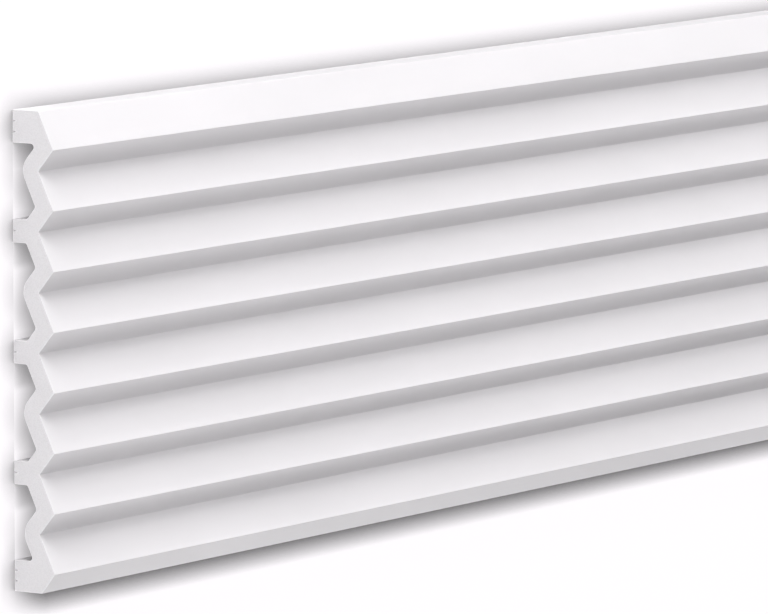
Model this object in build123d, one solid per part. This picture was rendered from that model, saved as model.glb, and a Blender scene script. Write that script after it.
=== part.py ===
"""Ridged wall panel: one length of rigid foam moulding, lying on its back.

X runs along the length, Y from the bottom long edge to the top one, and Z from the
back, which is glued to the wall, to the ridged front. The origin is the middle of the
back. The same section runs from end to end: eight ridges like overlapping boards in
front, a web of even thickness that follows them behind, and feet with glue grooves
that bridge the web to the wall.
"""

from build123d import *
import os

# Stock
panel_length = 2000.0
ridge_count = 8

# Ridged front: each board slopes out to its ridge, then returns to the valley below
ridge_pitch = 31.4
ridge_depth = 25.5
valley_depth = 16.0
return_height = 11.3
top_board_height = 19.8
top_edge_depth = 16.1
lip_height = 10.4
lip_depth = 17.4
ridge_radius = 0.4
valley_radius = 0.6
corner_radius = 0.8

# Hollowed back: web behind the boards, and feet behind every second valley
web_thickness = 9.6
top_foot_height = 17.0
middle_foot_height = 12.2
bottom_foot_height = 16.4
hollow_radius = 1.8

# Glue grooves in the feet: two in each edge foot, one in each middle foot
edge_groove_count = 2
middle_groove_count = 1
groove_width = 1.4
groove_depth = 2.2

# Worked out from the sizes above
panel_height = top_board_height + (ridge_count - 1) * ridge_pitch + lip_height
slack = 2 * web_thickness + 2 * hollow_radius


def ridge_height(number):
    """Height of a ridge above the bottom edge, where ridge 1 is the top one."""
    return panel_height - top_board_height - (number - 1) * ridge_pitch


def valley_height(number):
    """Height of the valley below the ridge of that number."""
    return ridge_height(number) - return_height


def ridge_points():
    """Ridges as (height, depth), from the top down."""
    return [(ridge_height(number), ridge_depth) for number in range(1, ridge_count + 1)]


def valley_points():
    """Valleys as (height, depth), from the top down."""
    return [(valley_height(number), valley_depth) for number in range(1, ridge_count)]


def front_points():
    """Front outline from the top edge to the bottom lip, as (height, depth)."""
    points = [(panel_height, top_edge_depth)]
    for number in range(1, ridge_count):
        points.append((ridge_height(number), ridge_depth))
        points.append((valley_height(number), valley_depth))
    points.append((ridge_height(ridge_count), ridge_depth))
    points.append((0, lip_depth))
    return points


def vertices_at(section, places):
    """Corners of a section that lie at the given (height, depth) places."""
    targets = [Vector(height, depth) for height, depth in places]
    corners = section.vertices()
    return [min(corners, key=lambda corner: (Vector(corner) - target).length) for target in targets]


def solid_outline():
    """Section without its hollows and grooves, with the front edges eased."""
    front = front_points()
    section = make_face(Polyline(*front, (0, 0), (panel_height, 0), close=True))
    section = fillet(vertices_at(section, ridge_points()), ridge_radius)
    section = fillet(vertices_at(section, valley_points()), valley_radius)
    return fillet(vertices_at(section, [front[0], front[-1]]), corner_radius)


def space_behind_web():
    """Everything that lies further back than the web, past the section on three sides."""
    front = front_points()
    above = (panel_height + slack, front[0][1])
    below = (-slack, front[-1][1])
    corners = [above, *front, below, (-slack, -slack), (panel_height + slack, -slack)]
    space = make_face(Polyline(*corners, close=True))
    return offset(space, amount=-web_thickness, kind=Kind.ARC)


def feet():
    """Feet from the top down, as (lower edge, upper edge, number of grooves)."""
    rows = [(panel_height - top_foot_height, panel_height, edge_groove_count)]
    for number in range(2, ridge_count, 2):
        middle = valley_height(number)
        half = middle_foot_height / 2
        rows.append((middle - half, middle + half, middle_groove_count))
    rows.append((0, bottom_foot_height, edge_groove_count))
    return rows


def band(lower, upper, back, front):
    """Rectangle between two heights and two depths."""
    middle = ((lower + upper) / 2, (back + front) / 2)
    return Pos(*middle) * Rectangle(upper - lower, front - back)


def hollows():
    """Open channels between neighbouring feet, with rounded inner corners."""
    behind = space_behind_web()
    rows = feet()
    channels = []
    for above, below in zip(rows, rows[1:]):
        channel = behind & band(below[1], above[0], -slack / 2, ridge_depth)
        inner = offset(channel, amount=-hollow_radius, kind=Kind.ARC)
        channels.append(offset(inner, amount=hollow_radius, kind=Kind.ARC))
    return channels


def groove(height):
    """V groove open to the back face of a foot."""
    half = groove_width / 2
    return make_face(Polyline((height - half, 0), (height, groove_depth), (height + half, 0), close=True))


def grooves():
    """Glue grooves, spaced evenly up each foot."""
    cuts = []
    for lower, upper, count in feet():
        step = (upper - lower) / (count + 1)
        for number in range(1, count + 1):
            cuts.append(groove(lower + number * step))
    return cuts


def panel_section():
    """The whole section, with height along x and depth along y."""
    section = solid_outline()
    for cut in hollows() + grooves():
        section -= cut
    return section


def wall_panel():
    """The panel, its section drawn on the YZ plane and run along X."""
    section = Pos(-panel_height / 2, 0) * panel_section()
    placed = Plane.YZ.offset(-panel_length / 2) * section
    return extrude(placed, amount=panel_length)


panel = wall_panel()
panel.label = "wall_panel"
os.makedirs("parts", exist_ok=True)
export_step(panel, "parts/wall_panel.step")
print("solids", len(panel.solids()), "height", round(panel_height, 2), "volume", round(panel.volume / 1e9, 6), "m3")
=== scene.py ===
"""Dresses a ridged wall panel of white primed foam that lies on its back, with its camera and studio."""

import logging
import math
from dataclasses import dataclass
from enum import Enum

import bmesh
import bpy
from mathutils import Matrix, Vector


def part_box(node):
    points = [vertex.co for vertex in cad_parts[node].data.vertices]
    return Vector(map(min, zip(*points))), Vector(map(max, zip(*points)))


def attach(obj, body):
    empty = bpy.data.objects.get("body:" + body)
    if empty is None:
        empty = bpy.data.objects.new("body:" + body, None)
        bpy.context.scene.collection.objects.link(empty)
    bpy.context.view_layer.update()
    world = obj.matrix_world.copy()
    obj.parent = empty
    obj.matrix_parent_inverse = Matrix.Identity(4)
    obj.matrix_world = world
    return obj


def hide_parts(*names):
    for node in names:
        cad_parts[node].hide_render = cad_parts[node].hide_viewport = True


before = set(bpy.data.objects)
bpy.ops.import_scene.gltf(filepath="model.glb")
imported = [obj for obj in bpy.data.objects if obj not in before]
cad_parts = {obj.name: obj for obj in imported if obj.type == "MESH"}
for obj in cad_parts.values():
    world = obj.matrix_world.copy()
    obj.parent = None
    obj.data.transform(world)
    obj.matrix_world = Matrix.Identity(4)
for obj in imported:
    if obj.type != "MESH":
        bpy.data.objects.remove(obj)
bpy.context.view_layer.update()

LOG = logging.getLogger("wall_panel")
MM = 0.001
WELD = 0.001 * MM
WHITE = (1.0, 1.0, 1.0, 1.0)

Point = tuple[float, float]
Axes = tuple[float, float, float]
Colour = tuple[float, float, float]
Fed = bpy.types.NodeSocket | float


class Zone(Enum):
    """Parts of a sawn end, as the number that its faces carry."""

    SKIN = 0
    FOAM = 1


@dataclass(frozen=True)
class Corner:
    """A corner of the section in millimetres, and the radius it is rounded to."""

    height: float
    depth: float
    radius: float = 0.0


@dataclass
class PanelSection:
    """The moulding's section in millimetres, as height above the bottom edge and depth from the back.

    Attributes:
        arc_step: Widest step in degrees between the points of a rounding.
        fewest_steps: Least number of steps in a rounding.
        arc_room: Largest share of its shorter side that a rounding takes up.
        guard_width: Width of the flat strip on each side of a rounding.
    """

    ridge_count: int = 8
    ridge_pitch: float = 31.4
    ridge_depth: float = 25.5
    valley_depth: float = 16.0
    return_height: float = 11.3
    top_board_height: float = 19.8
    top_edge_depth: float = 16.1
    lip_height: float = 10.4
    lip_depth: float = 17.4
    ridge_radius: float = 0.4
    valley_radius: float = 0.6
    corner_radius: float = 0.8
    web_thickness: float = 9.6
    top_foot_height: float = 17.0
    middle_foot_height: float = 12.2
    bottom_foot_height: float = 16.4
    hollow_radius: float = 1.8
    edge_groove_count: int = 2
    middle_groove_count: int = 1
    groove_width: float = 1.4
    groove_depth: float = 2.2
    arc_step: float = 9.0
    fewest_steps: int = 3
    arc_room: float = 0.45
    guard_width: float = 0.12

    @property
    def panel_height(self) -> float:
        """Height of the whole section."""
        return self.top_board_height + (self.ridge_count - 1) * self.ridge_pitch + self.lip_height

    def ridge(self, number: int) -> Vector:
        """Ridge edge by number, where 1 is the top one."""
        height = self.panel_height - self.top_board_height - (number - 1) * self.ridge_pitch
        return Vector((height, self.ridge_depth))

    def valley(self, number: int) -> Vector:
        """Valley below the ridge of that number."""
        return Vector((self.ridge(number).x - self.return_height, self.valley_depth))

    def front_corners(self) -> list[Corner]:
        """Front outline, from the top edge down to the lip.

        Returns:
            The corners, each with its own rounding.
        """
        corners = [Corner(self.panel_height, self.top_edge_depth, self.corner_radius)]
        for number in range(1, self.ridge_count):
            corners.append(Corner(*self.ridge(number), self.ridge_radius))
            corners.append(Corner(*self.valley(number), self.valley_radius))
        corners.append(Corner(*self.ridge(self.ridge_count), self.ridge_radius))
        corners.append(Corner(0.0, self.lip_depth, self.corner_radius))
        return corners

    def behind(self, before: Vector, edge: Vector, after: Vector) -> Vector:
        """Point behind a front edge where the two back faces of the web meet.

        Args:
            before: Front edge above this one.
            edge: The front edge itself.
            after: Front edge below it.

        Returns:
            The corner of the web's back, one web thickness from both front faces.
        """
        first = (edge - before).normalized()
        second = (after - edge).normalized()
        inward = [Vector((-run.y, run.x)) for run in (first, second)]
        middle = (inward[0] + inward[1]).normalized()
        return edge + middle * self.web_thickness / middle.dot(inward[0])

    def back_of_ridge(self, number: int) -> Vector:
        """Crest of the hollow behind a ridge."""
        above = self.valley(number - 1) if number > 1 else Vector((self.panel_height, self.top_edge_depth))
        below = self.valley(number) if number < self.ridge_count else Vector((0.0, self.lip_depth))
        return self.behind(above, self.ridge(number), below)

    def back_of_valley(self, number: int) -> Vector:
        """Corner of the web's back behind a valley, before it is rounded."""
        return self.behind(self.ridge(number), self.valley(number), self.ridge(number + 1))

    def feet(self) -> list[tuple[float, float, int]]:
        """Feet from the bottom up, as lower edge, upper edge and number of grooves."""
        rows = [(0.0, self.bottom_foot_height, self.edge_groove_count)]
        for number in range(self.ridge_count - 2, 0, -2):
            middle = self.valley(number).x
            half = self.middle_foot_height / 2
            rows.append((middle - half, middle + half, self.middle_groove_count))
        rows.append((self.panel_height - self.top_foot_height, self.panel_height, self.edge_groove_count))
        return rows

    def web_back(self) -> list[Vector]:
        """Back of the web from the bottom up, before rounding: crests and valley backs by turns."""
        line = []
        for number in range(self.ridge_count, 0, -1):
            line.append(self.back_of_ridge(number))
            if number > 1:
                line.append(self.back_of_valley(number - 1))
        return line

    def depth_behind(self, height: float, inside: float) -> float:
        """Depth of the web's back at a height, read along one of its straight runs.

        Args:
            height: Height above the bottom edge.
            inside: Height that tells which run is read.

        Returns:
            Distance from the back plane to that run.
        """
        line = self.web_back()
        runs = list(zip(line, line[1:]))
        low, high = next((run for run in runs if inside <= run[1].x), runs[-1])
        share = (height - low.x) / (high.x - low.x)
        return low.y + share * (high.y - low.y)

    def hollow_corners(self, lower: float, upper: float) -> list[Corner]:
        """Inner corners of one hollow, from its lower foot up to its upper one.

        Args:
            lower: Height of the lower foot's top face.
            upper: Height of the upper foot's underside.

        Returns:
            Corners from foot to foot: feet and crests rounded small, valley backs by the web's thickness.
        """
        crests = [self.back_of_ridge(number) for number in range(self.ridge_count, 0, -1)]
        start = lower + self.hollow_radius
        end = upper - self.hollow_radius
        corners = [Corner(lower, self.depth_behind(lower, start), self.hollow_radius)]
        for place in self.web_back():
            if start < place.x < end:
                radius = self.hollow_radius if place in crests else self.web_thickness
                corners.append(Corner(place.x, place.y, radius))
        corners.append(Corner(upper, self.depth_behind(upper, end), self.hollow_radius))
        return corners

    def foot_corners(self, lower: float, upper: float, grooves: int) -> list[Corner]:
        """Back face of one foot with its V grooves, from its lower edge to its upper one.

        Args:
            lower: Height of the lower edge.
            upper: Height of the upper edge.
            grooves: Number of grooves, spaced evenly.

        Returns:
            The sharp corners of the face.
        """
        corners = [Corner(lower, 0.0)]
        step = (upper - lower) / (grooves + 1)
        for number in range(1, grooves + 1):
            middle = lower + number * step
            corners.append(Corner(middle - self.groove_width / 2, 0.0))
            corners.append(Corner(middle, self.groove_depth))
            corners.append(Corner(middle + self.groove_width / 2, 0.0))
        corners.append(Corner(upper, 0.0))
        return corners

    def corners(self) -> list[Corner]:
        """All corners in order round the section."""
        corners = self.front_corners()
        feet = self.feet()
        for index, (lower, upper, grooves) in enumerate(feet):
            corners += self.foot_corners(lower, upper, grooves)
            if index + 1 < len(feet):
                corners += self.hollow_corners(upper, feet[index + 1][0])
        return corners

    def rounded(self, before: Vector, corner: Corner, after: Vector) -> list[Point]:
        """One corner as an arc, with a narrow flat strip on each side of it.

        Args:
            before: Corner before this one.
            corner: The corner and its radius.
            after: Corner after this one.

        Returns:
            Points of the strip, the arc and the other strip, or the corner alone where it is sharp.
        """
        place = Vector((corner.height, corner.depth))
        if corner.radius == 0.0:
            return [tuple(place)]
        back = (before - place).normalized()
        onward = (after - place).normalized()
        half_angle = back.angle(onward) / 2
        room = self.arc_room * min((before - place).length, (after - place).length)
        tangent = min(corner.radius / math.tan(half_angle), room)
        radius = tangent * math.tan(half_angle)
        centre = place + (back + onward).normalized() * radius / math.sin(half_angle)
        turn = math.pi - 2 * half_angle
        steps = max(self.fewest_steps, math.ceil(math.degrees(turn) / self.arc_step))
        start = place + back * tangent - centre
        side = 1.0 if start.y * back.x - start.x * back.y > 0 else -1.0
        points = [tuple(place + back * (tangent + self.guard_width))]
        for step in range(steps + 1):
            angle = side * turn * step / steps
            spoke = Vector((start.x * math.cos(angle) - start.y * math.sin(angle),
                            start.x * math.sin(angle) + start.y * math.cos(angle)))
            points.append(tuple(centre + spoke))
        points.append(tuple(place + onward * (tangent + self.guard_width)))
        return points

    def outline(self) -> list[Point]:
        """The closed outline with every corner rounded.

        Returns:
            Points in order, the first not repeated.
        """
        corners = self.corners()
        places = [Vector((corner.height, corner.depth)) for corner in corners]
        points = []
        for index, corner in enumerate(corners):
            after = places[(index + 1) % len(places)]
            points += self.rounded(places[index - 1], corner, after)
        return points


@dataclass(frozen=True)
class NodeSheet:
    """Adds and joins nodes in one tree.

    Attributes:
        tree: The tree that the nodes go into.
    """

    tree: bpy.types.NodeTree

    def add(self, kind: str, **settings: object) -> bpy.types.Node:
        """Adds a node and sets its plain properties.

        Args:
            kind: Blender's name of the node type.
            settings: Properties of the node by name.

        Returns:
            The new node.
        """
        node = self.tree.nodes.new(kind)
        for name, value in settings.items():
            setattr(node, name, value)
        return node

    def join(self, source: bpy.types.NodeSocket, target: bpy.types.NodeSocket) -> None:
        """Links an output to an input."""
        self.tree.links.new(source, target)

    def feed(self, value: Fed, target: bpy.types.NodeSocket) -> None:
        """Gives an input a link or a plain number.

        Args:
            value: Output to link, or the number.
            target: Input that takes it.
        """
        if isinstance(value, bpy.types.NodeSocket):
            self.join(value, target)
        else:
            target.default_value = value

    def worked(self, operation: str, first: Fed, second: Fed = 0.0) -> bpy.types.NodeSocket:
        """Result of one sum.

        Args:
            operation: Blender's name of the sum.
            first: Value that the sum starts from.
            second: Other value, where the sum has one.

        Returns:
            The sum's result.
        """
        node = self.add("ShaderNodeMath", operation=operation)
        self.feed(first, node.inputs[0])
        self.feed(second, node.inputs[1])
        return node.outputs["Value"]

    def mixed(self, share: Fed, first: Fed, second: Fed) -> bpy.types.NodeSocket:
        """Number between two others.

        Args:
            share: 0 for the first and 1 for the second.
            first: Value at 0.
            second: Value at 1.

        Returns:
            The mixed value.
        """
        node = self.add("ShaderNodeMix", data_type="FLOAT")
        self.feed(share, node.inputs[0])
        self.feed(first, node.inputs[2])
        self.feed(second, node.inputs[3])
        return node.outputs[0]

    def ramp(self, value: bpy.types.NodeSocket, span: Point, ends: Point) -> bpy.types.NodeSocket:
        """Straight ramp, held at both ends.

        Args:
            value: Value that is read.
            span: Readings at the ramp's two ends.
            ends: What the ramp gives at those.

        Returns:
            The ramp's result.
        """
        node = self.add("ShaderNodeMapRange")
        for name, number in zip(("From Min", "From Max", "To Min", "To Max"), (*span, *ends)):
            node.inputs[name].default_value = number
        self.join(value, node.inputs["Value"])
        return node.outputs["Result"]


class Finish:
    """A procedural finish, made once and shared.

    Attributes:
        name: Name of the material.
        relief_share: Share of each bump that is used.
    """

    name: str
    relief_share: float = 0.5

    def material(self) -> bpy.types.Material:
        """The material, built on its first use."""
        found = bpy.data.materials.get(self.name)
        if found is not None:
            return found
        made = bpy.data.materials.new(self.name)
        made.use_nodes = True
        made.node_tree.nodes.clear()
        sheet = NodeSheet(made.node_tree)
        output = sheet.add("ShaderNodeOutputMaterial")
        sheet.join(self.shader(sheet), output.inputs["Surface"])
        return made

    def shader(self, sheet: NodeSheet) -> bpy.types.NodeSocket:
        """Builds the finish's nodes.

        Args:
            sheet: Sheet of the material's tree.

        Returns:
            The shader output that goes to the surface.
        """
        raise NotImplementedError

    def noise(self, sheet: NodeSheet, scale: Axes, detail: float) -> bpy.types.NodeSocket:
        """Noise on object coordinates.

        Args:
            sheet: Sheet of the material's tree.
            scale: Cells for each metre along X, Y and Z.
            detail: Octaves of finer noise.

        Returns:
            The noise value, about 0.5 on average.
        """
        place = sheet.add("ShaderNodeTexCoord")
        stretch = sheet.add("ShaderNodeMapping")
        stretch.inputs["Scale"].default_value = scale
        grain = sheet.add("ShaderNodeTexNoise")
        grain.inputs["Scale"].default_value = 1.0
        grain.inputs["Detail"].default_value = detail
        sheet.join(place.outputs["Object"], stretch.inputs["Vector"])
        sheet.join(stretch.outputs["Vector"], grain.inputs["Vector"])
        return grain.outputs["Fac"]

    def between(self, sheet: NodeSheet, value: bpy.types.NodeSocket, low: Colour, high: Colour,
                span: Point = (0.3, 0.7)) -> bpy.types.NodeSocket:
        """Colour between two tones by a value.

        Args:
            sheet: Sheet of the material's tree.
            value: Value that picks the tone.
            low: Colour at the low end.
            high: Colour at the high end.
            span: Values at which the two ends are reached.

        Returns:
            The colour.
        """
        ramp = sheet.add("ShaderNodeValToRGB")
        ramp.color_ramp.elements[0].position = span[0]
        ramp.color_ramp.elements[0].color = (*low, 1.0)
        ramp.color_ramp.elements[1].position = span[1]
        ramp.color_ramp.elements[1].color = (*high, 1.0)
        sheet.join(value, ramp.inputs["Fac"])
        return ramp.outputs["Color"]

    def bump(self, sheet: NodeSheet, height: bpy.types.NodeSocket, distance: float,
             below: bpy.types.NodeSocket | None = None) -> bpy.types.NodeSocket:
        """Bump from a height value.

        Args:
            sheet: Sheet of the material's tree.
            height: Height value, 0 to 1.
            distance: Height of the relief in metres.
            below: Normal of a coarser bump under this one.

        Returns:
            The bumped normal.
        """
        relief = sheet.add("ShaderNodeBump")
        relief.inputs["Strength"].default_value = self.relief_share
        relief.inputs["Distance"].default_value = distance
        sheet.join(height, relief.inputs["Height"])
        if below is not None:
            sheet.join(below, relief.inputs["Normal"])
        return relief.outputs["Normal"]


@dataclass(frozen=True)
class PrimerFinish(Finish):
    """Matt white primer on the moulded skin, with faint lines drawn along the length."""

    name: str = "white_primer"
    dull: Colour = (0.857, 0.835, 0.859)
    clean: Colour = (0.887, 0.864, 0.889)
    roughness: float = 0.62
    specular: float = 0.35
    cloud_scale: Axes = (9.0, 26.0, 26.0)
    line_scale: Axes = (2.5, 900.0, 900.0)
    peel_scale: Axes = (1300.0, 1700.0, 1700.0)
    line_relief: float = 0.00003
    peel_relief: float = 0.00004

    def shader(self, sheet: NodeSheet) -> bpy.types.NodeSocket:
        """Primer: cloudy white, drawn lines and a fine peel in the bump.

        Args:
            sheet: Sheet of the material's tree.

        Returns:
            The surface shader.
        """
        cloud = self.noise(sheet, self.cloud_scale, 3.0)
        lines = self.noise(sheet, self.line_scale, 2.0)
        peel = self.noise(sheet, self.peel_scale, 2.0)
        drawn = self.bump(sheet, lines, self.line_relief)
        normal = self.bump(sheet, peel, self.peel_relief, drawn)
        surface = sheet.add("ShaderNodeBsdfPrincipled")
        surface.inputs["Roughness"].default_value = self.roughness
        surface.inputs["Specular IOR Level"].default_value = self.specular
        sheet.join(self.between(sheet, cloud, self.dull, self.clean), surface.inputs["Base Color"])
        sheet.join(normal, surface.inputs["Normal"])
        return surface.outputs["BSDF"]


@dataclass(frozen=True)
class SkinEdgeFinish(Finish):
    """The dense skin where the saw cut it: a hair lighter and smoother than the foam inside."""

    name: str = "cut_skin"
    dull: Colour = (0.862, 0.84, 0.864)
    clean: Colour = (0.902, 0.879, 0.904)
    roughness: float = 0.7
    specular: float = 0.3
    fleck_scale: Axes = (900.0, 900.0, 900.0)

    def shader(self, sheet: NodeSheet) -> bpy.types.NodeSocket:
        """Cut skin: white with faint flecks.

        Args:
            sheet: Sheet of the material's tree.

        Returns:
            The surface shader.
        """
        flecks = self.noise(sheet, self.fleck_scale, 1.0)
        surface = sheet.add("ShaderNodeBsdfPrincipled")
        surface.inputs["Roughness"].default_value = self.roughness
        surface.inputs["Specular IOR Level"].default_value = self.specular
        sheet.join(self.between(sheet, flecks, self.dull, self.clean), surface.inputs["Base Color"])
        return surface.outputs["BSDF"]


@dataclass(frozen=True)
class SawnFoamFinish(Finish):
    """Fine rigid foam bared by a saw: tiny closed cells and faint strokes of the blade."""

    name: str = "sawn_foam"
    cell: Colour = (0.752, 0.732, 0.754)
    wall: Colour = (0.81, 0.79, 0.812)
    tone_span: Point = (0.1, 0.6)
    roughness: float = 0.85
    specular: float = 0.2
    cell_scale: float = 1500.0
    stroke_scale: Axes = (1.0, 90.0, 900.0)
    cell_relief: float = 0.00008
    stroke_relief: float = 0.00006

    def shader(self, sheet: NodeSheet) -> bpy.types.NodeSocket:
        """Foam: cells darker than the walls between them, with saw strokes in the bump.

        Args:
            sheet: Sheet of the material's tree.

        Returns:
            The surface shader.
        """
        place = sheet.add("ShaderNodeTexCoord")
        cells = sheet.add("ShaderNodeTexVoronoi")
        cells.inputs["Scale"].default_value = self.cell_scale
        sheet.join(place.outputs["Object"], cells.inputs["Vector"])
        strokes = self.noise(sheet, self.stroke_scale, 2.0)
        sawn = self.bump(sheet, strokes, self.stroke_relief)
        normal = self.bump(sheet, cells.outputs["Distance"], self.cell_relief, sawn)
        surface = sheet.add("ShaderNodeBsdfPrincipled")
        surface.inputs["Roughness"].default_value = self.roughness
        surface.inputs["Specular IOR Level"].default_value = self.specular
        colour = self.between(sheet, cells.outputs["Distance"], self.cell, self.wall, self.tone_span)
        sheet.join(colour, surface.inputs["Base Color"])
        sheet.join(normal, surface.inputs["Normal"])
        return surface.outputs["BSDF"]


@dataclass
class WallPanel:
    """The panel itself: its section run along the stock length, with a sawn face at each end.

    Attributes:
        section: Sizes of the section.
        skin: Finish of the moulded faces.
        cut_skin: Finish of the skin's edge on the sawn ends.
        foam: Finish of the sawn ends inside the skin.
        length: Stock length in metres, read from the frame.
        skin_width: Width of the skin's edge on the sawn ends, in millimetres.
        rings: Rings of vertices along the length.
        sharp_angle: Turn in degrees from which an edge between two faces stays sharp.
        name: Name of the piece.
    """

    section: PanelSection
    skin: Finish
    cut_skin: Finish
    foam: Finish
    length: float
    skin_width: float = 0.3
    rings: int = 41
    sharp_angle: float = 28.0
    name: str = "panel"

    def inset(self, points: list[Point]) -> list[Point]:
        """The outline moved inwards by the skin's width.

        Args:
            points: Outline in order, in millimetres.

        Returns:
            As many points, each inside its own.
        """
        places = [Vector(point) for point in points]
        area = sum(a.x * b.y - b.x * a.y for a, b in zip(places, places[1:] + places[:1]))
        side = 1.0 if area > 0 else -1.0
        moved = []
        for index, place in enumerate(places):
            first = (place - places[index - 1]).normalized()
            second = (places[(index + 1) % len(places)] - place).normalized()
            inward = [Vector((-run.y, run.x)) * side for run in (first, second)]
            middle = (inward[0] + inward[1]).normalized()
            moved.append(tuple(place + middle * self.skin_width / middle.dot(inward[0])))
        return moved

    def end_mesh(self) -> bpy.types.Mesh:
        """A sawn end in the XY plane, as a rim of skin round a core of foam.

        Returns:
            The mesh, with each face's zone in the attribute zone.
        """
        outer = self.section.outline()
        inner = self.inset(outer)
        middle = self.section.panel_height / 2
        work = bmesh.new()
        loops = []
        for points in (outer, inner):
            loops.append([work.verts.new(((x - middle) * MM, y * MM, 0.0)) for x, y in points])
        zone = work.faces.layers.int.new("zone")
        count = len(outer)
        for index in range(count):
            after = (index + 1) % count
            face = work.faces.new((loops[0][index], loops[0][after], loops[1][after], loops[1][index]))
            face[zone] = Zone.SKIN.value
        core = work.faces.new(loops[1])
        core[zone] = Zone.FOAM.value
        work.normal_update()
        bmesh.ops.triangulate(work, faces=[core])
        bmesh.ops.recalc_face_normals(work, faces=work.faces)
        mesh = bpy.data.meshes.new(self.name + "_end")
        work.to_mesh(mesh)
        work.free()
        return mesh

    def run_tree(self) -> bpy.types.NodeTree:
        """Geometry nodes that run a sawn end's outline along X and close both ends with it.

        Returns:
            The tree, with named inputs for the length, the rings and the three finishes.
        """
        tree = bpy.data.node_groups.new("run_section", "GeometryNodeTree")
        sockets = tree.interface
        sockets.new_socket("Geometry", in_out="INPUT", socket_type="NodeSocketGeometry")
        for name, kind in (("Length", "Float"), ("Rings", "Int"), ("Skin", "Material"),
                           ("Cut skin", "Material"), ("Foam", "Material")):
            sockets.new_socket(name, in_out="INPUT", socket_type="NodeSocket" + kind)
        sockets.new_socket("Geometry", in_out="OUTPUT", socket_type="NodeSocketGeometry")
        sheet = NodeSheet(tree)
        given = sheet.add("NodeGroupInput").outputs
        joined = sheet.add("GeometryNodeJoinGeometry")
        sheet.join(self.run_sides(sheet, given), joined.inputs["Geometry"])
        for direction in (-1.0, 1.0):
            sheet.join(self.run_end(sheet, given, direction), joined.inputs["Geometry"])
        weld = sheet.add("GeometryNodeMergeByDistance")
        weld.inputs["Distance"].default_value = WELD
        real = sheet.add("GeometryNodeRealizeInstances")
        result = sheet.add("NodeGroupOutput")
        sheet.join(joined.outputs["Geometry"], weld.inputs["Geometry"])
        sheet.join(weld.outputs["Geometry"], real.inputs["Geometry"])
        sheet.join(real.outputs["Geometry"], result.inputs["Geometry"])
        return tree

    def run_sides(self, sheet: NodeSheet, given: bpy.types.bpy_prop_collection) -> bpy.types.NodeSocket:
        """Moulded faces: the outline swept along a line.

        Args:
            sheet: Sheet of the tree.
            given: The tree's inputs.

        Returns:
            The faces without the ends, in the skin's finish.
        """
        beside = sheet.add("GeometryNodeInputMeshEdgeNeighbors")
        outer = sheet.add("FunctionNodeCompare", data_type="INT", operation="EQUAL")
        outer.inputs[3].default_value = 1
        profile = sheet.add("GeometryNodeMeshToCurve")
        start = sheet.add("ShaderNodeCombineXYZ")
        end = sheet.add("ShaderNodeCombineXYZ")
        line = sheet.add("GeometryNodeCurvePrimitiveLine")
        rings = sheet.add("GeometryNodeResampleCurve")
        upright = sheet.add("GeometryNodeSetCurveTilt")
        upright.inputs["Tilt"].default_value = math.pi
        sweep = sheet.add("GeometryNodeCurveToMesh")
        finish = sheet.add("GeometryNodeSetMaterial")
        sheet.join(beside.outputs["Face Count"], outer.inputs[2])
        sheet.join(given["Geometry"], profile.inputs["Mesh"])
        sheet.join(outer.outputs["Result"], profile.inputs["Selection"])
        sheet.join(sheet.worked("MULTIPLY", given["Length"], -0.5), start.inputs["X"])
        sheet.join(sheet.worked("MULTIPLY", given["Length"], 0.5), end.inputs["X"])
        sheet.join(start.outputs["Vector"], line.inputs["Start"])
        sheet.join(end.outputs["Vector"], line.inputs["End"])
        sheet.join(line.outputs["Curve"], rings.inputs["Curve"])
        sheet.join(given["Rings"], rings.inputs["Count"])
        sheet.join(rings.outputs["Curve"], upright.inputs["Curve"])
        sheet.join(upright.outputs["Curve"], sweep.inputs["Curve"])
        sheet.join(profile.outputs["Curve"], sweep.inputs["Profile Curve"])
        sheet.join(sweep.outputs["Mesh"], finish.inputs["Geometry"])
        sheet.join(given["Skin"], finish.inputs["Material"])
        return finish.outputs["Geometry"]

    def run_end(self, sheet: NodeSheet, given: bpy.types.bpy_prop_collection,
                direction: float) -> bpy.types.NodeSocket:
        """One sawn end, stood across the length.

        Args:
            sheet: Sheet of the tree.
            given: The tree's inputs.
            direction: -1 for the left end and 1 for the right one.

        Returns:
            The end with its two finishes.
        """
        place = sheet.add("ShaderNodeCombineXYZ")
        stand = sheet.add("GeometryNodeTransform")
        stand.inputs["Rotation"].default_value = (math.pi / 2, 0.0, math.pi / 2)
        zone = sheet.add("GeometryNodeInputNamedAttribute", data_type="INT")
        zone.inputs["Name"].default_value = "zone"
        core = sheet.add("FunctionNodeCompare", data_type="INT", operation="EQUAL")
        core.inputs[3].default_value = Zone.FOAM.value
        rim_finish = sheet.add("GeometryNodeSetMaterial")
        core_finish = sheet.add("GeometryNodeSetMaterial")
        sheet.join(sheet.worked("MULTIPLY", given["Length"], direction / 2), place.inputs["X"])
        sheet.join(place.outputs["Vector"], stand.inputs["Translation"])
        sheet.join(given["Geometry"], stand.inputs["Geometry"])
        sheet.join(stand.outputs["Geometry"], rim_finish.inputs["Geometry"])
        sheet.join(given["Cut skin"], rim_finish.inputs["Material"])
        sheet.join(zone.outputs["Attribute"], core.inputs[2])
        sheet.join(rim_finish.outputs["Geometry"], core_finish.inputs["Geometry"])
        sheet.join(core.outputs["Result"], core_finish.inputs["Selection"])
        sheet.join(given["Foam"], core_finish.inputs["Material"])
        return core_finish.outputs["Geometry"]

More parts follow.
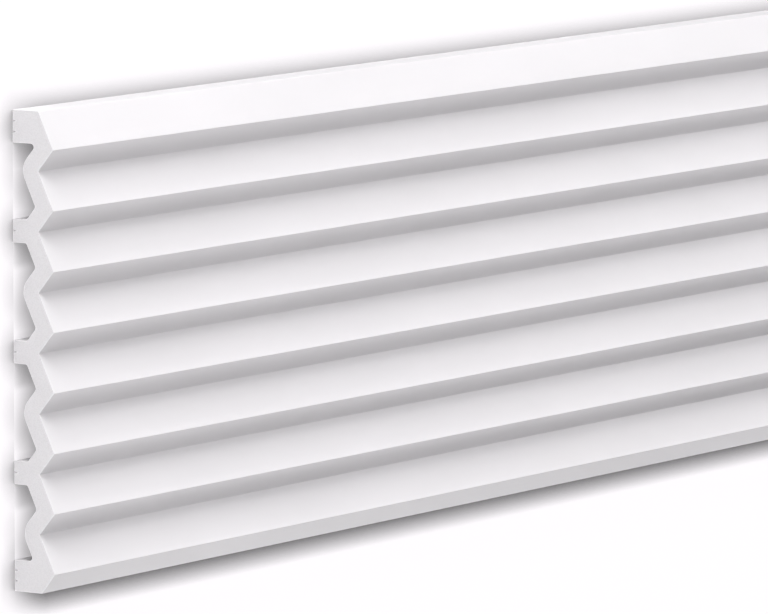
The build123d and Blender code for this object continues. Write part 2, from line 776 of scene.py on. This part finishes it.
    def build(self) -> bpy.types.Object:
        """Makes the panel as a plain mesh in its place.

        Returns:
            The finished object, at the origin and unturned.
        """
        end = self.end_mesh()
        piece = bpy.data.objects.new(self.name, end)
        bpy.context.scene.collection.objects.link(piece)
        run = piece.modifiers.new("run", "NODES")
        run.node_group = self.run_tree()
        values = {"Length": self.length, "Rings": self.rings, "Skin": self.skin.material(),
                  "Cut skin": self.cut_skin.material(), "Foam": self.foam.material()}
        for item in run.node_group.interface.items_tree:
            if item.in_out == "INPUT" and item.name in values:
                run[item.identifier] = values[item.name]
        graph = bpy.context.evaluated_depsgraph_get()
        mesh = bpy.data.meshes.new_from_object(piece.evaluated_get(graph), depsgraph=graph)
        piece.modifiers.clear()
        piece.data = mesh
        bpy.data.meshes.remove(end)
        self.tidy(mesh)
        return piece

    def tidy(self, mesh: bpy.types.Mesh) -> None:
        """Points every face outwards, and shades the rounds smooth and the edges sharp.

        Args:
            mesh: The panel's mesh.
        """
        work = bmesh.new()
        work.from_mesh(mesh)
        bmesh.ops.remove_doubles(work, verts=work.verts, dist=WELD)
        bmesh.ops.recalc_face_normals(work, faces=work.faces)
        work.to_mesh(mesh)
        work.free()
        mesh.shade_smooth()
        mesh.set_sharp_from_angle(angle=math.radians(self.sharp_angle))


@dataclass(frozen=True)
class FloorPart:
    """How one part of the floor is shaded by the panel's foot, and how it gives light back.

    Attributes:
        reach: How far off the panel still shades it, in metres.
        depth: How dark the shade is, as a power.
        facing: Direction that its openness is read in, with X towards the middle of the panel.
        painted_bounce: Its brightness for bounced light: lowered as painted shade beyond the top edge and
            under the panel, and raised above 1 past the lip as painted light.
    """

    reach: float
    depth: float
    facing: Axes
    painted_bounce: float


@dataclass
class Floor:
    """Plain white floor with a short soft painted shadow round the panel's foot.

    Attributes:
        size: Side of the floor in metres.
        around: The floor beyond the top edge.
        past_lip: The floor beyond the bottom edge.
        past_end: The floor beyond a sawn end.
        under: The floor inside the hollows.
        half_length: Half the panel's length, in metres.
        half_height: Half the panel's height, in metres.
        end_blend: Where the floor starts to count as past an end and where it fully does, in metres past it.
        lip_blend: Distance inside the bottom edge where the floor starts to count as past the lip, in metres.
        lit: Share of the shown floor that the studio's light makes.
        steady: Share of the shown floor that is the same all over.
        tint: Colour of that share.
        hollow_painted_light: Painted light shown under the panel at a sawn end, and the painted shade further
            in.
        hollow_painted_fade: Distance from the sawn end over which the painted light fades to that painted
            shade, in metres.
        shade_samples: Rays that read the shade at one place.
    """

    size: float = 120.0
    around: FloorPart = FloorPart(0.0125, 1.36, (0.0, 0.26, 0.97), 0.18)
    past_lip: FloorPart = FloorPart(0.0168, 2.65, (0.0, 0.26, 0.97), 2.0)
    past_end: FloorPart = FloorPart(0.014, 0.66, (0.98, 0.0, 0.17), 0.8)
    under: FloorPart = FloorPart(0.014, 0.6, (0.0, 0.87, 0.5), 0.2)
    half_length: float = 1.0
    half_height: float = 0.125
    end_blend: Point = (-0.027, 0.006)
    lip_blend: float = 0.005
    lit: float = 0.12
    steady: float = 0.94
    tint: Colour = (1.0, 0.97, 1.0)
    hollow_painted_light: Point = (0.97, 0.07)
    hollow_painted_fade: float = 0.03
    shade_samples: int = 16

    @property
    def parts(self) -> list[FloorPart]:
        """The floor's parts, first the one beyond the top edge and then one for each weight."""
        return [self.around, self.past_lip, self.past_end, self.under]

    def build(self) -> bpy.types.Object:
        """Makes the floor under the panel.

        Returns:
            The floor.
        """
        half = self.size / 2
        mesh = bpy.data.meshes.new("floor")
        corners = [(-half, -half, 0.0), (half, -half, 0.0), (half, half, 0.0), (-half, half, 0.0)]
        mesh.from_pydata(corners, [], [(0, 1, 2, 3)])
        floor = bpy.data.objects.new("floor", mesh)
        bpy.context.scene.collection.objects.link(floor)
        mesh.materials.append(self.material())
        return floor

    def material(self) -> bpy.types.Material:
        """Matt white for the light, and white with a short soft shadow for the camera.

        Returns:
            The floor's material.
        """
        made = bpy.data.materials.new("white_floor")
        made.use_nodes = True
        made.node_tree.nodes.clear()
        sheet = NodeSheet(made.node_tree)
        place = sheet.add("ShaderNodeTexCoord")
        split = sheet.add("ShaderNodeSeparateXYZ")
        sheet.join(place.outputs["Object"], split.inputs["Vector"])
        along = sheet.worked("ABSOLUTE", split.outputs["X"])
        weights = self.weights(sheet, along, split.outputs["Y"])
        shade = self.shade(sheet, weights, sheet.worked("SIGN", split.outputs["X"]))
        painted_bounce = sheet.add("ShaderNodeBsdfDiffuse")
        # Bounced light by part: painted shade where the floor is set dark, painted light past the lip.
        tone = self.by_part(sheet, weights, [part.painted_bounce for part in self.parts])
        rays = sheet.add("ShaderNodeLightPath")
        pick = sheet.add("ShaderNodeMixShader")
        output = sheet.add("ShaderNodeOutputMaterial")
        sheet.join(tone, painted_bounce.inputs["Color"])
        sheet.join(rays.outputs["Is Camera Ray"], pick.inputs["Fac"])
        sheet.join(painted_bounce.outputs["BSDF"], pick.inputs[1])
        sheet.join(self.shown(sheet, along, weights[-1], shade), pick.inputs[2])
        sheet.join(pick.outputs["Shader"], output.inputs["Surface"])
        return made

    def weights(self, sheet: NodeSheet, along: bpy.types.NodeSocket,
                across: bpy.types.NodeSocket) -> list[bpy.types.NodeSocket]:
        """How far a place on the floor belongs to each part after the first.

        Args:
            sheet: Sheet of the floor's tree.
            along: Distance from the middle along the panel.
            across: Place across the panel, towards its top edge.

        Returns:
            Weights past the lip, past an end and under the panel.
        """
        lip_span = (self.lip_blend - self.half_height, -self.half_height)
        end_span = (self.half_length + self.end_blend[0], self.half_length + self.end_blend[1])
        within = sheet.worked("LESS_THAN", along, self.half_length)
        near = sheet.worked("LESS_THAN", sheet.worked("ABSOLUTE", across), self.half_height)
        under = sheet.worked("MULTIPLY", within, near)
        return [sheet.ramp(across, lip_span, (0.0, 1.0)), sheet.ramp(along, end_span, (0.0, 1.0)), under]

    def by_part(self, sheet: NodeSheet, weights: list[bpy.types.NodeSocket],
                values: list[float]) -> bpy.types.NodeSocket:
        """A number that differs from one part of the floor to the next.

        Args:
            sheet: Sheet of the floor's tree.
            weights: Weights of the parts after the first.
            values: The number in each part.

        Returns:
            The number at each place.
        """
        result = values[0]
        for weight, value in zip(weights, values[1:]):
            result = sheet.mixed(weight, result, value)
        return result

    def shade(self, sheet: NodeSheet, weights: list[bpy.types.NodeSocket],
              side: bpy.types.NodeSocket) -> bpy.types.NodeSocket:
        """How open the floor is to light from close by.

        Args:
            sheet: Sheet of the floor's tree.
            weights: Weights of the parts after the first.
            side: 1 on the right half of the floor and -1 on the left half.

        Returns:
            1 in the open, falling towards the panel's foot.
        """
        facing = []
        for axis in range(3):
            facing.append(self.by_part(sheet, weights, [part.facing[axis] for part in self.parts]))
        direction = sheet.add("ShaderNodeCombineXYZ")
        unit = sheet.add("ShaderNodeVectorMath", operation="NORMALIZE")
        opening = sheet.add("ShaderNodeAmbientOcclusion", samples=self.shade_samples)
        inwards = sheet.worked("MULTIPLY", side, -1.0)
        sheet.join(sheet.worked("MULTIPLY", facing[0], inwards), direction.inputs["X"])
        sheet.join(facing[1], direction.inputs["Y"])
        sheet.join(facing[2], direction.inputs["Z"])
        sheet.join(direction.outputs["Vector"], unit.inputs[0])
        sheet.join(unit.outputs["Vector"], opening.inputs["Normal"])
        reach = self.by_part(sheet, weights, [part.reach for part in self.parts])
        sheet.join(reach, opening.inputs["Distance"])
        depth = self.by_part(sheet, weights, [part.depth for part in self.parts])
        return sheet.worked("POWER", opening.outputs["AO"], depth)

    def shown(self, sheet: NodeSheet, along: bpy.types.NodeSocket, under: bpy.types.NodeSocket,
              shade: bpy.types.NodeSocket) -> bpy.types.NodeSocket:
        """What the camera sees: mostly a steady white with a painted shadow at the panel's foot, painted
        light fading to painted shade under the panel, and a small share that the studio lights.

        Args:
            sheet: Sheet of the floor's tree.
            along: Distance from the middle along the panel.
            under: 1 under the panel and 0 elsewhere.
            shade: How open the floor is.

        Returns:
            The shader.
        """
        # Under the panel: painted light at the sawn end, fading to painted shade further in.
        fade = (self.half_length, self.half_length - self.hollow_painted_fade)
        level = sheet.mixed(under, self.steady, sheet.ramp(along, fade, self.hollow_painted_light))
        glow = sheet.add("ShaderNodeEmission")
        glow.inputs["Color"].default_value = (*self.tint, 1.0)
        lit = sheet.add("ShaderNodeBsdfDiffuse")
        both = sheet.add("ShaderNodeAddShader")
        # Painted shadow: the shown white is dimmed where the floor is less open near the panel.
        sheet.join(sheet.worked("MULTIPLY", level, shade), glow.inputs["Strength"])
        sheet.join(sheet.worked("MULTIPLY", shade, self.lit), lit.inputs["Color"])
        sheet.join(glow.outputs["Emission"], both.inputs[0])
        sheet.join(lit.outputs["BSDF"], both.inputs[1])
        return both.outputs["Shader"]


@dataclass
class Sky:
    """Faint light from all round, with a bright strip at the foot of two of its sides.

    Attributes:
        even: Strength all over.
        top_strip: Added strength at the foot of the sky beyond the panel's top edge.
        top_height: Height in degrees at which that strip has faded out.
        lip_strip: Added strength at the foot of the sky beyond the panel's bottom lip.
        lip_height: Height in degrees at which that strip has faded out.
        shown: Strength that the camera sees.
    """

    even: float = 0.1
    top_strip: float = 6.3
    top_height: float = 5.0
    lip_strip: float = 3.3
    lip_height: float = 20.0
    shown: float = 1.0

    def build(self) -> bpy.types.World:
        """Makes the world and gives it to the scene.

        Returns:
            The world.
        """
        world = bpy.data.worlds.new("studio")
        world.use_nodes = True
        world.node_tree.nodes.clear()
        sheet = NodeSheet(world.node_tree)
        rays = sheet.add("ShaderNodeLightPath")
        strength = sheet.mixed(rays.outputs["Is Camera Ray"], self.glow(sheet), self.shown)
        light = sheet.add("ShaderNodeBackground")
        light.inputs["Color"].default_value = WHITE
        output = sheet.add("ShaderNodeOutputWorld")
        sheet.join(strength, light.inputs["Strength"])
        sheet.join(light.outputs["Background"], output.inputs["Surface"])
        bpy.context.scene.world = world
        return world

    def glow(self, sheet: NodeSheet) -> bpy.types.NodeSocket:
        """Strength by direction, read as the angle that runs over the panel from top edge to lip.

        Args:
            sheet: Sheet of the world's tree.

        Returns:
            The strength.
        """
        place = sheet.add("ShaderNodeTexCoord")
        split = sheet.add("ShaderNodeSeparateXYZ")
        sheet.join(place.outputs["Generated"], split.inputs["Vector"])
        angle = sheet.worked("ARCTAN2", split.outputs["Z"], split.outputs["Y"])
        half = self.even / 2
        top_span = (0.0, math.radians(self.top_height))
        lip_span = (math.pi, math.pi - math.radians(self.lip_height))
        top = sheet.ramp(angle, top_span, (half + self.top_strip, half))
        lip = sheet.ramp(angle, lip_span, (half + self.lip_strip, half))
        return sheet.worked("ADD", top, lip)


@dataclass
class SoftBox:
    """A square lamp that shines on a point of the floor.

    Attributes:
        name: Name of the lamp.
        towards: Direction from that point to the lamp.
        power: Light that the lamp gives on a face turned to it, where 1 shows a white as white.
        size: Side of the lamp in metres.
        distance: Distance from the point in metres.
        aim: The point that the lamp faces.
    """

    name: str
    towards: Axes
    power: float
    size: float = 1.2
    distance: float = 2.0
    aim: Axes = (-0.9, 0.0, 0.0)

    def build(self) -> bpy.types.Object:
        """Makes the lamp.

        Returns:
            The lamp's object.
        """
        lamp = bpy.data.lights.new(self.name, "AREA")
        lamp.shape = "SQUARE"
        lamp.size = self.size
        lamp.energy = self.power * math.pi * math.pi * self.distance ** 2
        way = Vector(self.towards).normalized()
        piece = bpy.data.objects.new(self.name, lamp)
        bpy.context.scene.collection.objects.link(piece)
        turn = (-way).to_track_quat("-Z", "Y").to_matrix().to_4x4()
        piece.matrix_world = Matrix.Translation(Vector(self.aim) + way * self.distance) @ turn
        return piece


@dataclass
class PanelCamera:
    """The camera that looks down on the panel's left end, with its top edge up in the picture.

    Attributes:
        place: Where the camera stands, in metres.
        target: Point at the middle of the picture.
        top: Direction that is up in the picture.
        lens: Focal length in millimetres.
        sensor: Width of the sensor in millimetres.
    """

    place: Axes = (-4.5007, 0.5330, 2.5689)
    target: Axes = (-0.6566, -0.0107, 0.0)
    top: Axes = (0.0, 1.0, 0.0)
    lens: float = 397.5
    sensor: float = 36.0

    def build(self) -> bpy.types.Object:
        """Makes the camera and gives it to the scene.

        Returns:
            The camera's object.
        """
        camera = bpy.data.cameras.new("camera")
        camera.lens = self.lens
        camera.sensor_width = self.sensor
        camera.sensor_fit = "HORIZONTAL"
        place = Vector(self.place)
        ahead = (Vector(self.target) - place).normalized()
        right = ahead.cross(Vector(self.top)).normalized()
        above = right.cross(ahead)
        turn = Matrix((right, above, -ahead)).transposed().to_4x4()
        piece = bpy.data.objects.new("camera", camera)
        piece.matrix_world = Matrix.Translation(place) @ turn
        bpy.context.scene.collection.objects.link(piece)
        bpy.context.scene.camera = piece
        return piece


def make_panel() -> bpy.types.Object:
    """Builds the panel over its CAD node.

    Returns:
        The panel's object.
    """
    low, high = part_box("wall_panel")
    panel = WallPanel(PanelSection(), PrimerFinish(), SkinEdgeFinish(), SawnFoamFinish(), high.x - low.x)
    piece = panel.build()
    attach(piece, "root")
    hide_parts("wall_panel")
    return piece


def main() -> None:
    """Builds the panel, the studio and the camera in order."""
    logging.basicConfig(level=logging.INFO, format="%(name)s: %(message)s")
    piece = make_panel()
    LOG.info("panel: %d faces", len(piece.data.polygons))
    LOG.info("floor: %s", Floor().build().name)
    LOG.info("sky: %s", Sky().build().name)
    lamps = [
        SoftBox("low_lamp", (-0.3, 0.9, 0.3), 0.865, size=1.8, distance=3.0),
        SoftBox("high_lamp", (0.4, 0.5, 0.8), 0.43, distance=2.5, aim=(-0.6, 0.0, 0.0)),
        SoftBox("lip_lamp", (-0.7, -0.5, 0.5), 0.38, aim=(-1.1, 0.0, 0.0)),
        SoftBox("far_lamp", (0.85, 0.1, 0.5), 0.2, aim=(1.0, 0.0, 0.0)),
    ]
    for lamp in lamps:
        LOG.info("lamp: %s", lamp.build().name)
    PanelCamera().build()
    bpy.context.scene.view_settings.view_transform = "Standard"


if __name__ == "__main__":
    main()
